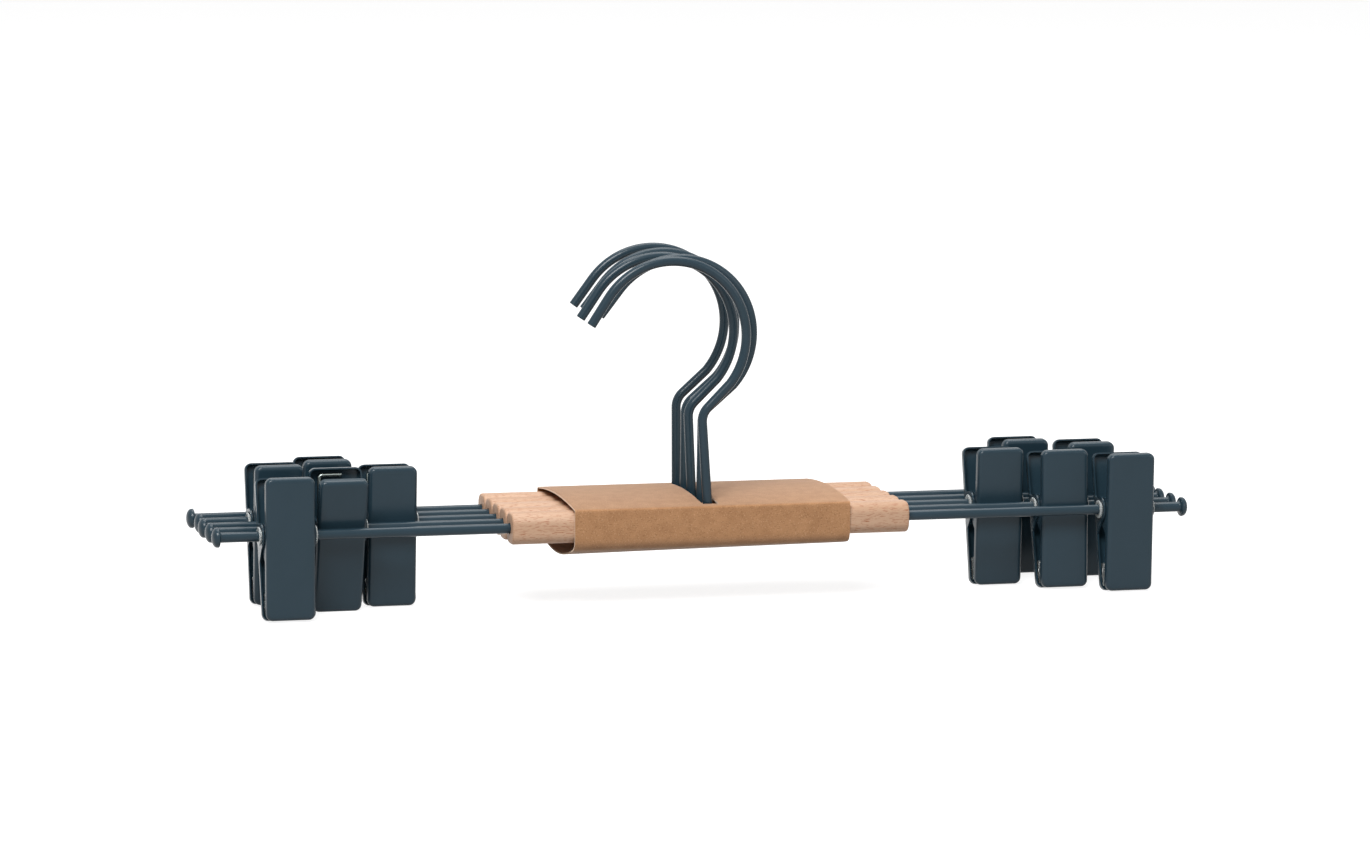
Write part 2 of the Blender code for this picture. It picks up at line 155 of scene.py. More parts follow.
def seen_or_mirrored(tree):
    """A value of 1 for rays from the camera or from a reflection, else 0."""
    path = tree.nodes.new("ShaderNodeLightPath")
    value = path.outputs["Is Camera Ray"]
    for ray in ("Is Glossy Ray", "Is Transmission Ray"):
        either = tree.nodes.new("ShaderNodeMath")
        either.operation = "MAXIMUM"
        tree.links.new(value, either.inputs[0])
        tree.links.new(path.outputs[ray], either.inputs[1])
        value = either.outputs[0]
    return value


def light_world():
    """Dim for the light that falls on the hangers, white where it is seen or mirrored."""
    world = bpy.data.worlds.new("pale_world")
    world.use_nodes = True
    bpy.context.scene.world = world
    tree = world.node_tree
    background = tree.nodes["Background"]
    background.inputs["Color"].default_value = (1, 1, 1, 1)
    strength = tree.nodes.new("ShaderNodeMapRange")
    strength.inputs["To Min"].default_value = WORLD_LIGHT
    strength.inputs["To Max"].default_value = 1.0
    tree.links.new(seen_or_mirrored(tree), strength.inputs["Value"])
    tree.links.new(strength.outputs["Result"], background.inputs["Strength"])


def add_lamp(name, place, size, power):
    """A round soft lamp, aimed at the middle hanger."""
    lamp = bpy.data.lights.new(name, "AREA")
    lamp.shape = "DISK"
    lamp.size = size
    lamp.energy = power
    obj = bpy.data.objects.new(name, lamp)
    bpy.context.scene.collection.objects.link(obj)
    obj.location = place
    aim = rod_point(MIDDLE_HANGER) - Vector(place)
    obj.rotation_euler = aim.to_track_quat("-Z", "Y").to_euler()


def add_floor():
    """A wide flat floor that glows only for rays that see or mirror it."""
    shape = bmesh.new()
    bmesh.ops.create_grid(shape, x_segments=1, y_segments=1, size=FLOOR_HALF_SIZE)
    mesh = bpy.data.meshes.new("floor")
    shape.to_mesh(mesh)
    shape.free()
    floor = bpy.data.objects.new("floor", mesh)
    bpy.context.scene.collection.objects.link(floor)
    material = bpy.data.materials.new("pale_floor")
    material.use_nodes = True
    tree = material.node_tree
    shader = tree.nodes["Principled BSDF"]
    shader.inputs["Base Color"].default_value = (*FLOOR_COLOUR, 1)
    shader.inputs["Roughness"].default_value = FLOOR_ROUGHNESS
    shader.inputs["Specular IOR Level"].default_value = FLOOR_SHINE
    shader.inputs["Emission Color"].default_value = (1, 1, 1, 1)
    glow = tree.nodes.new("ShaderNodeMath")
    glow.operation = "MULTIPLY"
    glow.inputs[1].default_value = FLOOR_GLOW
    tree.links.new(seen_or_mirrored(tree), glow.inputs[0])
    tree.links.new(glow.outputs[0], shader.inputs["Emission Strength"])
    mesh.materials.append(material)


light_world()
for lamp_name, lamp in LAMPS.items():
    add_lamp(lamp_name, **lamp)
add_floor()
bpy.context.scene.view_settings.view_transform = "Standard"
print("lamps:", ", ".join(LAMPS))

# %% [markdown]
# ## Shared surface effects
#
# Real surfaces are never one flat colour. Three small node groups make the unevenness, and
# each finish places them with values of its own. `mottle` drifts slowly between two
# colours, `flecks` makes short marks that may be stretched along one axis, and `tooth`
# gives the height of a fine, even roughness.

# %% Helpers for shader groups
# All layers of the noise meet in one point at the start, so the surface is moved off it
AWAY_FROM_START = (17.3, 31.7, 53.1)


def new_group(name, inputs, outputs):
    """A shader group with its sockets. The values given are the inputs' defaults."""
    tree = bpy.data.node_groups.new(name, "ShaderNodeTree")
    for label, kind, default in inputs:
        socket = tree.interface.new_socket(label, in_out="INPUT", socket_type=kind)
        socket.default_value = default
    for label, kind in outputs:
        tree.interface.new_socket(label, in_out="OUTPUT", socket_type=kind)
    return tree, tree.nodes.new("NodeGroupInput"), tree.nodes.new("NodeGroupOutput")


def scaled_place(tree, entry):
    """The surface's own place, stretched by the group's input."""
    coordinates = tree.nodes.new("ShaderNodeTexCoord")
    stretch = tree.nodes.new("ShaderNodeVectorMath")
    stretch.operation = "MULTIPLY_ADD"
    stretch.inputs[2].default_value = AWAY_FROM_START
    tree.links.new(coordinates.outputs["Object"], stretch.inputs[0])
    tree.links.new(entry.outputs["Stretch"], stretch.inputs[1])
    return stretch.outputs["Vector"]


def noise_over(tree, entry, detail):
    """Noise over the stretched surface, with so many finer layers."""
    cloud = tree.nodes.new("ShaderNodeTexNoise")
    cloud.inputs["Scale"].default_value = 1
    cloud.inputs["Detail"].default_value = detail
    tree.links.new(scaled_place(tree, entry), cloud.inputs["Vector"])
    return cloud.outputs["Fac"]


def mixed(tree, share, first, second):
    """A colour that goes over from the first to the second as the share rises."""
    mix = tree.nodes.new("ShaderNodeMix")
    mix.data_type = "RGBA"
    tree.links.new(share, mix.inputs["Factor"])
    tree.links.new(first, mix.inputs["A"])
    tree.links.new(second, mix.inputs["B"])
    return mix.outputs["Result"]


# %% The three groups
MOTTLE_DETAIL = 3
MOTTLE_RANGE = (0.3, 0.7)
FLECKS_DETAIL = 1
TOOTH_DETAIL = 4


def build_mottle():
    tree, entry, result = new_group(
        "mottle",
        [
            ("Light", "NodeSocketColor", (1, 1, 1, 1)),
            ("Dark", "NodeSocketColor", (0, 0, 0, 1)),
            ("Stretch", "NodeSocketVector", (60, 60, 60)),
        ],
        [("Color", "NodeSocketColor"), ("Mask", "NodeSocketFloat")],
    )
    spread = tree.nodes.new("ShaderNodeMapRange")
    spread.inputs["From Min"].default_value = MOTTLE_RANGE[0]
    spread.inputs["From Max"].default_value = MOTTLE_RANGE[1]
    tree.links.new(noise_over(tree, entry, MOTTLE_DETAIL), spread.inputs["Value"])
    mask = spread.outputs["Result"]
    colour = mixed(tree, mask, entry.outputs["Light"], entry.outputs["Dark"])
    tree.links.new(colour, result.inputs["Color"])
    tree.links.new(mask, result.inputs["Mask"])
    return tree


def build_flecks():
    tree, entry, result = new_group(
        "flecks",
        [
            ("Base", "NodeSocketColor", (1, 1, 1, 1)),
            ("Mark", "NodeSocketColor", (0, 0, 0, 1)),
            ("Stretch", "NodeSocketVector", (1000, 1000, 1000)),
            ("Start", "NodeSocketFloat", 0.6),
            ("Full", "NodeSocketFloat", 0.7),
            ("Strength", "NodeSocketFloat", 0.5),
        ],
        [("Color", "NodeSocketColor"), ("Mask", "NodeSocketFloat")],
    )
    cut = tree.nodes.new("ShaderNodeMapRange")
    tree.links.new(noise_over(tree, entry, FLECKS_DETAIL), cut.inputs["Value"])
    tree.links.new(entry.outputs["Start"], cut.inputs["From Min"])
    tree.links.new(entry.outputs["Full"], cut.inputs["From Max"])
    mask = cut.outputs["Result"]
    strength = tree.nodes.new("ShaderNodeMath")
    strength.operation = "MULTIPLY"
    tree.links.new(mask, strength.inputs[0])
    tree.links.new(entry.outputs["Strength"], strength.inputs[1])
    colour = mixed(tree, strength.outputs[0], entry.outputs["Base"], entry.outputs["Mark"])
    tree.links.new(colour, result.inputs["Color"])
    tree.links.new(mask, result.inputs["Mask"])
    return tree


def build_tooth():
    tree, entry, result = new_group(
        "tooth",
        [("Stretch", "NodeSocketVector", (3000, 3000, 3000))],
        [("Height", "NodeSocketFloat")],
    )
    tree.links.new(noise_over(tree, entry, TOOTH_DETAIL), result.inputs["Height"])
    return tree


MOTTLE = build_mottle()
FLECKS = build_flecks()
TOOTH = build_tooth()
print("shader groups:", [group.name for group in bpy.data.node_groups])


# %% Helpers for finishes
FINE_DEPTH = 0.0001
SKIN_DEPTH = 0.0003


def new_finish(name, roughness, metallic=0.0):
    material = bpy.data.materials.new(name)
    material.use_nodes = True
    shader = material.node_tree.nodes["Principled BSDF"]
    shader.inputs["Roughness"].default_value = roughness
    shader.inputs["Metallic"].default_value = metallic
    return material, material.node_tree, shader


def place_group(tree, group, **values):
    """A shared group, placed in a finish with values of its own."""
    node = tree.nodes.new("ShaderNodeGroup")
    node.node_tree = group
    for label, value in values.items():
        node.inputs[label].default_value = value
    return node


def add_bump(tree, shader, height, strength, distance=FINE_DEPTH):
    bump = tree.nodes.new("ShaderNodeBump")
    bump.inputs["Strength"].default_value = strength
    bump.inputs["Distance"].default_value = distance
    tree.links.new(height, bump.inputs["Height"])
    tree.links.new(bump.outputs["Normal"], shader.inputs["Normal"])


def vary_roughness(tree, shader, mask, low, high):
    spread = tree.nodes.new("ShaderNodeMapRange")
    spread.inputs["To Min"].default_value = low
    spread.inputs["To Max"].default_value = high
    tree.links.new(mask, spread.inputs["Value"])
    tree.links.new(spread.outputs["Result"], shader.inputs["Roughness"])


def shade(hex_colour):
    """A colour as the eye reads it, turned into the light values that a shader takes.

    The numbers are those of the usual screen curve.
    """
    values = []
    for start in (0, 2, 4):
        seen = int(hex_colour[start:start + 2], 16) / 255
        values.append(seen / 12.92 if seen <= 0.04045 else ((seen + 0.055) / 1.055) ** 2.4)
    return (*values, 1)


# %% [markdown]
# ## The finishes
#
# The steel carries a dark blue-grey powder coat with a soft sheen: the grain of the coat is
# too fine to see as such, and it shows as a broad, quiet highlight. The beech is pale and
# slightly pink with short dark flecks along the grain. The board is unbleached kraft with
# light and dark fibres.

# %% Coated steel
def coated_steel():
    material, tree, shader = new_finish("coated_steel", roughness=0.4)
    colour = place_group(
        tree, MOTTLE, Light=shade("253843"), Dark=shade("233640"), Stretch=(70, 70, 50)
    )
    tree.links.new(colour.outputs["Color"], shader.inputs["Base Color"])
    vary_roughness(tree, shader, colour.outputs["Mask"], low=0.24, high=0.26)
    coat_grain = place_group(tree, TOOTH, Stretch=(900, 950, 1000))
    add_bump(tree, shader, coat_grain.outputs["Height"], strength=0.012)
    shader.inputs["Specular IOR Level"].default_value = 0.24
    return material


# %% Beech
def beech():
    material, tree, shader = new_finish("beech", roughness=0.55)
    bands = place_group(
        tree, MOTTLE, Light=shade("c5a287"), Dark=shade("b89275"), Stretch=(9, 260, 260)
    )
    flecks = place_group(
        tree, FLECKS, Mark=shade("9c6240"), Stretch=(420, 4200, 4200),
        Start=0.59, Full=0.65, Strength=0.95,
    )
    tree.links.new(bands.outputs["Color"], flecks.inputs["Base"])
    tree.links.new(flecks.outputs["Color"], shader.inputs["Base Color"])
    vary_roughness(tree, shader, bands.outputs["Mask"], low=0.48, high=0.6)
    pores = place_group(tree, TOOTH, Stretch=(300, 2400, 2400))
    add_bump(tree, shader, pores.outputs["Height"], strength=0.25)
    return material


# %% Kraft board and its cut edge
LIGHT_FIBRE_SHARE = 0.7


def kraft_board(name, light, dark, fibre, strength):
    material, tree, shader = new_finish(name, roughness=0.85)
    cloud = place_group(
        tree, MOTTLE, Light=shade(light), Dark=shade(dark), Stretch=(220, 220, 220)
    )
    dark_fibres = place_group(
        tree, FLECKS, Mark=shade(fibre), Stretch=(1500, 2600, 2600),
        Start=0.58, Full=0.72, Strength=strength,
    )
    light_fibres = place_group(
        tree, FLECKS, Mark=shade("dcb48b"), Stretch=(2300, 1700, 2000),
        Start=0.60, Full=0.74, Strength=strength * LIGHT_FIBRE_SHARE,
    )
    tree.links.new(cloud.outputs["Color"], dark_fibres.inputs["Base"])
    tree.links.new(dark_fibres.outputs["Color"], light_fibres.inputs["Base"])
    tree.links.new(light_fibres.outputs["Color"], shader.inputs["Base Color"])
    vary_roughness(tree, shader, cloud.outputs["Mask"], low=0.78, high=0.9)
    felt = place_group(tree, TOOTH, Stretch=(1800, 1800, 1800))
    add_bump(tree, shader, felt.outputs["Height"], strength=0.3)
    shader.inputs["Specular IOR Level"].default_value = 0.25
    shader.inputs["Sheen Weight"].default_value = 0.4
    shader.inputs["Sheen Roughness"].default_value = 0.5
    return material


# %% Bright spring wire
def bright_wire():
    material, tree, shader = new_finish("bright_wire", roughness=0.25, metallic=1.0)
    plate = place_group(
        tree, MOTTLE, Light=shade("a6afab"), Dark=shade("8b9591"), Stretch=(500, 500, 500)
    )
    tree.links.new(plate.outputs["Color"], shader.inputs["Base Color"])
    vary_roughness(tree, shader, plate.outputs["Mask"], low=0.26, high=0.36)
    draw_marks = place_group(tree, TOOTH, Stretch=(900, 5000, 5000))
    add_bump(tree, shader, draw_marks.outputs["Height"], strength=0.03)
    return material


# %% Clear plastics
PLASTIC_IOR = 1.47


def clear_plastic(name, light, dark, clearness, bump, stretch):
    material, tree, shader = new_finish(name, roughness=0.22)
    haze = place_group(tree, MOTTLE, Light=shade(light), Dark=shade(dark), Stretch=(400, 400, 400))
    tree.links.new(haze.outputs["Color"], shader.inputs["Base Color"])
    vary_roughness(tree, shader, haze.outputs["Mask"], low=0.15, high=0.3)
    shader.inputs["Transmission Weight"].default_value = clearness
    shader.inputs["IOR"].default_value = PLASTIC_IOR
    skin = place_group(tree, TOOTH, Stretch=(stretch, stretch, stretch))
    add_bump(tree, shader, skin.outputs["Height"], strength=bump, distance=SKIN_DEPTH)
    return material


# %% Make the finishes
STEEL = coated_steel()
BEECH = beech()
BOARD = kraft_board("kraft_board", "b1835b", "a57852", "7a5534", 0.5)
BOARD_EDGE = kraft_board("kraft_cut_edge", "e2c4a2", "d3b18c", "b08a64", 0.4)
BRIGHT = bright_wire()
BUSH_PLASTIC = clear_plastic("bush_plastic", "eef1f0", "d7dcdb", 0.55, 0.05, 700)
PAD_VINYL = clear_plastic("pad_vinyl", "f2f5f4", "e3e8e7", 0.85, 0.7, 650)
print("finishes:", [material.name for material in bpy.data.materials])


# %% [markdown]
# ## Mesh helpers
#
# Most pieces are made once as a mesh about their own middle and then placed several times,
# because the ten clips are alike. A piece rides on the body that carries it, and the plain
# solid that it stands for is hidden.

# %% Make and place meshes
SMOOTH_ANGLE = math.radians(38)
SAME_POINT = 1e-7


def mesh_from(shape, name):
    """A shaded mesh from an edit mesh, with its faces turned out."""
    bmesh.ops.recalc_face_normals(shape, faces=shape.faces)
    mesh = bpy.data.meshes.new(name)
    shape.to_mesh(mesh)
    shape.free()
    mesh.shade_smooth()
    mesh.set_sharp_from_angle(angle=SMOOTH_ANGLE)
    return mesh


def temporary(mesh):
    """An object that only lives while its mesh is worked on."""
    obj = bpy.data.objects.new(mesh.name, mesh)
    bpy.context.scene.collection.objects.link(obj)
    return obj


def settled(obj):
    """The mesh with its modifiers carried out, in place of the object."""
    depsgraph = bpy.context.evaluated_depsgraph_get()
    mesh = bpy.data.meshes.new_from_object(obj.evaluated_get(depsgraph))
    bpy.data.objects.remove(obj)
    mesh.shade_smooth()
    mesh.set_sharp_from_angle(angle=SMOOTH_ANGLE)
    return mesh


def cut_away(mesh, *cutters):
    """The mesh without what the cutters cover."""
    obj = temporary(mesh)
    tools = [temporary(cutter) for cutter in cutters]
    for tool in tools:
        modifier = obj.modifiers.new("cut", "BOOLEAN")
        modifier.operation = "DIFFERENCE"
        modifier.solver = "EXACT"
        modifier.object = tool
    result = settled(obj)
    for tool in tools:
        bpy.data.objects.remove(tool)
    return result


def put(name, mesh, place, material, slot, body, *nodes):
    """Show a mesh at its place, riding on a body, in place of the plain solids named."""
    if not mesh.materials:
        mesh.materials.append(material)
    obj = bpy.data.objects.new(name, mesh)
    bpy.context.scene.collection.objects.link(obj)
    obj.matrix_world = place
    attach(obj, body)
    if nodes:
        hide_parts(*nodes)


# %% Rings of points, tubes and turned shapes
def skin_rings(shape, rings):
    """Join neighbouring rings of points with faces."""
    rows = [[shape.verts.new(point) for point in ring] for ring in rings]
    for low, high in zip(rows, rows[1:]):
        count = len(low)
        for i in range(count):
            j = (i + 1) % count
            shape.faces.new((low[i], low[j], high[j], high[i]))
    return rows


def tube_mesh(name, path, radius, sides, edge):
    """A round wire along a path, whose ends are square with a fine broken edge."""
    rings = []
    across = None
    for i, point in enumerate(path):
        before = path[max(i - 1, 0)]
        after = path[min(i + 1, len(path) - 1)]
        ahead = (after - before).normalized()
        if across is None:
            across = ahead.orthogonal().normalized()
        across = (across - ahead * across.dot(ahead)).normalized()
        third = ahead.cross(across)
        sizes = [(0, radius)]
        if i == 0:
            sizes = [(0, radius - edge), (edge, radius)]
        if i == len(path) - 1:
            sizes = [(-edge, radius), (0, radius - edge)]
        for shift, size in sizes:
            ring = []
            for k in range(sides):
                angle = 2 * math.pi * k / sides
                spoke = across * math.cos(angle) + third * math.sin(angle)
                ring.append(point + ahead * shift + spoke * size)
            rings.append(ring)
    shape = bmesh.new()
    rows = skin_rings(shape, rings)
    shape.faces.new(rows[0])
    shape.faces.new(rows[-1])
    return mesh_from(shape, name)


def turned_mesh(name, profile, sides, closed):
    """A profile of height along X and radius, turned about X."""
    rings = []
    for height, radius in profile:
        ring = []
        for k in range(sides):
            angle = 2 * math.pi * k / sides
            ring.append(Vector((height, radius * math.cos(angle), radius * math.sin(angle))))
        rings.append(ring)
    if closed:
        rings.append(rings[0])
    shape = bmesh.new()
    rows = skin_rings(shape, rings)
    if closed:
        bmesh.ops.remove_doubles(shape, verts=shape.verts, dist=SAME_POINT)
    else:
        shape.faces.new(rows[0])
        shape.faces.new(rows[-1])
    return mesh_from(shape, name)


def arc_points(centre, radius, first, last, steps):
    """Points on an arc in a plane, from the first to the last angle in degrees."""
    points = []
    for step in range(steps + 1):
        angle = math.radians(first + (last - first) * step / steps)
        points.append((
            centre[0] + radius * math.cos(angle),
            centre[1] + radius * math.sin(angle),
        ))
    return points


# %% [markdown]
# ## Rods and their heads
#
# Each rod is drawn wire, upset at both ends into a mushroom head that stops the clips. A
# turned profile gives the dome, its thin rim and the small flare where head meets rod.

# %% Rods
ROD_SIDES = 32
ROD_RADIUS = 0.0020
HEAD_RADIUS = 0.0039
HEAD_THICKNESS = 0.0030
HEAD_DOME = 0.0021
HEAD_RIM = 0.00035
DOME_DEGREES = (8, 16, 26, 36, 46, 56, 66, 76)
DOME_TIP_SHARE = 0.04
NECK_FLARE = 0.0007
FLARE_STEPS = 4


def rod_mesh():
    """Half the profile is drawn from the tip inwards, and the other half mirrors it."""
    low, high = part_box("rod_1")
    tip = (high.x - low.x) / 2
    half = [(tip, HEAD_RADIUS * DOME_TIP_SHARE)]
    for degrees in DOME_DEGREES:
        angle = math.radians(degrees)
        half.append((tip - HEAD_DOME * (1 - math.cos(angle)), HEAD_RADIUS * math.sin(angle)))
    inner = tip - HEAD_THICKNESS
    half += [(inner + 2 * HEAD_RIM, HEAD_RADIUS), (inner + HEAD_RIM, HEAD_RADIUS)]
    half.append((inner, HEAD_RADIUS - HEAD_RIM))
    flare = (inner - NECK_FLARE, ROD_RADIUS + NECK_FLARE)
    half += arc_points(flare, NECK_FLARE, 0, -90, FLARE_STEPS)
    mirrored = [(-along, radius) for along, radius in reversed(half)]
    return turned_mesh("rod", half + mirrored, ROD_SIDES, closed=False)


ROD_MESH = rod_mesh()
for k in HANGERS:
    rod_low, rod_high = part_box(f"rod_{k}")
    rod_place = Matrix.Translation((rod_low + rod_high) / 2)
    put(f"rod_wire_{k}", ROD_MESH, rod_place, STEEL, "coated_steel", "pack", f"rod_{k}")
print("rod faces:", len(ROD_MESH.polygons))

# %% [markdown]
# ## Hooks
#
# The hook is drawn wire too: an upright stem, a bend of nearly 50 degrees, a bow and a
# short straight tail. The path is worked out from the bow's size, and the two straight
# stretches touch the bow along its own direction, so that no kink shows.

# %% Hooks
HOOK_SIDES = 28
HOOK_WIRE_RADIUS = 0.0019
HOOK_BOW_RADIUS = 0.0305
HOOK_BOW_CENTRE = (-0.0104, 0.0731)
HOOK_NECK_DEGREES = 48.5
HOOK_BOW_END_DEGREES = 143
HOOK_BOW_STEPS = 60
HOOK_BEND_RADIUS = 0.0077
HOOK_BEND_STEPS = 10
HOOK_TAIL = 0.0129
HOOK_FOOT = 0.0023
HOOK_LIFTS = (0.0015, 0.0, 0.0003, 0.0, 0.0008)
WIRE_EDGE = 0.0002


def hook_path():
    """Points along the wire's middle, from its foot in the bar to its tip."""
    bow = arc_points(
        HOOK_BOW_CENTRE, HOOK_BOW_RADIUS, HOOK_NECK_DEGREES - 90, HOOK_BOW_END_DEGREES,
        HOOK_BOW_STEPS,
    )
    neck = math.radians(HOOK_NECK_DEGREES)
    corner_height = bow[0][1] - bow[0][0] / math.tan(neck)
    bend_length = HOOK_BEND_RADIUS * math.tan(neck / 2)
    bend = arc_points(
        (HOOK_BEND_RADIUS, corner_height - bend_length), HOOK_BEND_RADIUS,
        180, 180 - HOOK_NECK_DEGREES, HOOK_BEND_STEPS,
    )
    end = math.radians(HOOK_BOW_END_DEGREES)
    tip = (bow[-1][0] - HOOK_TAIL * math.sin(end), bow[-1][1] + HOOK_TAIL * math.cos(end))
    flat = [(0, HOOK_FOOT), *bend, *bow, tip]
    return [Vector((across, 0, up)) for across, up in flat]


def hook_place(number):
    """On its joint's axis, raised by its own small lift."""
    joint = JOINTS[f"hook_turn_{number}"]
    stem = Vector(joint["axis"])
    lean = math.atan2(stem.x, stem.z)
    lift = Matrix.Translation((0, 0, HOOK_LIFTS[number - 1]))
    return Matrix.Translation(joint["pos_m"]) @ Matrix.Rotation(lean, 4, "Y") @ lift


HOOK_MESH = tube_mesh("hook", hook_path(), HOOK_WIRE_RADIUS, HOOK_SIDES, WIRE_EDGE)
for k in HANGERS:
    put(f"hook_wire_{k}", HOOK_MESH, hook_place(k), STEEL, "coated_steel", f"hook_{k}", f"hook_{k}")
print("hook faces:", len(HOOK_MESH.polygons))

# %% [markdown]
# ## Beech bars
#
# Each bar is a planed stick with well rounded long edges, sawn off square. It is bored
# through for the rod, and from above for the hook's stem. Every bar is cut from another
# place in the grain, so that no two bars show the same flecks.

# %% Bars
BAR_ROUND = 0.0044
BAR_END_ROUND = 0.0009
BAR_ROUND_STEPS = 8
BAR_END_STEPS = 3
BORE_RADIUS = 0.0023
DRILL_SIDES = 32
GRAIN_SHIFT = Vector((0.061, 0.017, 0.023))


def stick(name, size):
    """A bar with well rounded long edges and a fine round on its two ends."""
    shape = bmesh.new()
    bmesh.ops.create_cube(shape, size=1, matrix=Matrix.Diagonal((*size, 1)))
    long_edges = [e for e in shape.edges if e.verts[0].co.x * e.verts[1].co.x < 0]
    bmesh.ops.bevel(
        shape, geom=long_edges, offset=BAR_ROUND, segments=BAR_ROUND_STEPS, profile=0.5,
        affect="EDGES",
    )
    rims = [e for e in shape.edges if e.verts[0].co.x * e.verts[1].co.x > 0]
    bmesh.ops.bevel(
        shape, geom=rims, offset=BAR_END_ROUND, segments=BAR_END_STEPS, profile=0.5,
        affect="EDGES",
    )
    return mesh_from(shape, name)


def drill(radius, foot, direction, length):
    """A cutter for a round hole that starts at its foot and runs along the direction."""
    shape = bmesh.new()
    turn = Vector(direction).to_track_quat("Z", "Y").to_matrix().to_4x4()
    middle = Matrix.Translation((0, 0, length / 2))
    bmesh.ops.create_cone(
        shape, cap_ends=True, segments=DRILL_SIDES, radius1=radius, radius2=radius,
        depth=length, matrix=Matrix.Translation(foot) @ turn @ middle,
    )
    return mesh_from(shape, "drill")


def add_bar(number):
    """A bored bar. Its mesh stands off its own middle, which shifts the grain."""
    low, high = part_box(f"wood_bar_{number}")
    size = high - low
    middle = (low + high) / 2
    hook = JOINTS[f"hook_turn_{number}"]
    bore = drill(BORE_RADIUS, (-size.x, 0, 0), (1, 0, 0), 2 * size.x)
    stem = drill(BORE_RADIUS, Vector(hook["pos_m"]) - middle, hook["axis"], size.z)
    mesh = cut_away(stick("bar", size), bore, stem)
    shift = GRAIN_SHIFT * number
    mesh.transform(Matrix.Translation(-shift))
    put(
        f"bar_{number}", mesh, Matrix.Translation(middle + shift), BEECH, "beech", "pack",
        f"wood_bar_{number}",
    )


for k in HANGERS:
    add_bar(k)
print("bars:", len(HANGERS))

# %% [markdown]
# ## The board sleeve
#
# The sleeve is one strip of board folded round the bars and glued. Its front and back stand
# upright, its top and bottom bow away from the bars, and the folds are soft: the lower front
# fold is the roundest. Beside the slot for the hooks the board is pushed up a little. A loop
# of points is drawn for each place along the sleeve, the loops are joined, and the sheet
# gets its thickness. Its cut edges are a lighter colour.

# %% Soft folds, and the lift beside the slot
FOLD_STEPS = 5
SLOT_LEFT = -0.0036
FLAP_LIFT = 0.0005
FLAP_REACH = 0.011
FLAP_EDGE_ROOM = 0.0005
FLAP_NARROWING = 1.1


def soft_fold(before, corner, after, radius):
    """Points round a fold, from the side before the corner to the side after it."""
    start = corner + (before - corner).normalized() * radius
    end = corner + (after - corner).normalized() * radius
    points = []
    for step in range(FOLD_STEPS + 1):
        t = step / FOLD_STEPS
        points.append(start * (1 - t) ** 2 + corner * 2 * t * (1 - t) + end * t * t)
    return points


def flap_lift(across, depth):
    """How far the top is pushed up beside the left edge of the slot."""
    away = SLOT_LEFT - across
    if away < -FLAP_EDGE_ROOM:
        return 0.0
    fall = math.exp(-((max(away, 0) / FLAP_REACH) ** 2))
    return FLAP_LIFT * fall * max(0.0, 1 - depth * depth * FLAP_NARROWING)


# %% The sleeve's section
SLEEVE_CROWN = 0.0022
SLEEVE_DROP = 0.0008
SLEEVE_SAG = 0.0050
SAG_FALL = 0.0009
FOLD_RADII = {"front_low": 0.0038, "front_high": 0.0011, "back_high": 0.0016, "back_low": 0.0022}
BOW_STEPS = 40


def sleeve_loop(across, share, half_depth, half_height):
    """The outer section at one place along the sleeve, from the low front fold round.

    The share runs from -1 at the left end to 1 at the right one, where the sag is less.
    """
    front_low = Vector((-half_depth, -half_height - SLEEVE_DROP))
    front_high = Vector((-half_depth, half_height))
    back_high = Vector((half_depth, half_height))
    back_low = Vector((half_depth, -half_height - SLEEVE_DROP))
    sag = SLEEVE_SAG - SAG_FALL * share

    def over(depth):
        bow = 1 - depth * depth
        up = half_height + SLEEVE_CROWN * bow + flap_lift(across, depth)
        return Vector((half_depth * depth, up))

    def under(depth):
        down = half_height + SLEEVE_DROP + sag * (1 - depth * depth)
        return Vector((half_depth * depth, -down))

    top = [over(-1 + 2 * step / BOW_STEPS) for step in range(1, BOW_STEPS)]
    bottom = [under(1 - 2 * step / BOW_STEPS) for step in range(1, BOW_STEPS)]
    loop = soft_fold(bottom[-1], front_low, front_high, FOLD_RADII["front_low"])
    loop += soft_fold(front_low, front_high, top[0], FOLD_RADII["front_high"])
    loop += [p for p in top if abs(p.x) < half_depth - FOLD_RADII["back_high"]]
    loop += soft_fold(top[-1], back_high, back_low, FOLD_RADII["back_high"])
    loop += soft_fold(back_high, back_low, bottom[0], FOLD_RADII["back_low"])
    loop += [p for p in bottom if abs(p.x) < half_depth - FOLD_RADII["front_low"]]
    return loop


# %% The wrapped sheet
SLEEVE_BOARD = 0.0006
SLEEVE_STEPS = 72


def stem_x(low, high):
    """Where the hooks' stems stand, measured from the sleeve's middle."""
    return rod_point(MIDDLE_HANGER).x - (low.x + high.x) / 2


def sleeve_mesh(low, high):
    """Centred on the bars, which lie at the rods' height."""
    size = high - low
    half_depth = size.y / 2
    half_height = high.z - rod_point(MIDDLE_HANGER).z - SLEEVE_CROWN
    rings = []
    for step in range(SLEEVE_STEPS + 1):
        share = -1 + 2 * step / SLEEVE_STEPS
        across = share * size.x / 2
        loop = sleeve_loop(across - stem_x(low, high), share, half_depth, half_height)
        rings.append([Vector((across, point.x, point.y)) for point in loop])
    shape = bmesh.new()
    skin_rings(shape, rings)
    mesh = mesh_from(shape, "sleeve")
    mesh.materials.append(BOARD)
    mesh.materials.append(BOARD_EDGE)
    obj = temporary(mesh)
    board = obj.modifiers.new("board", "SOLIDIFY")
    board.thickness = SLEEVE_BOARD
    board.offset = -1
    board.material_offset_rim = 1
    return settled(obj)


# %% Cut the slot and place the sleeve
SLOT_RIGHT = 0.0030
SLOT_BULGE = 0.0004
SLOT_END_ROOM = 0.0036
SLOT_STEPS = 16


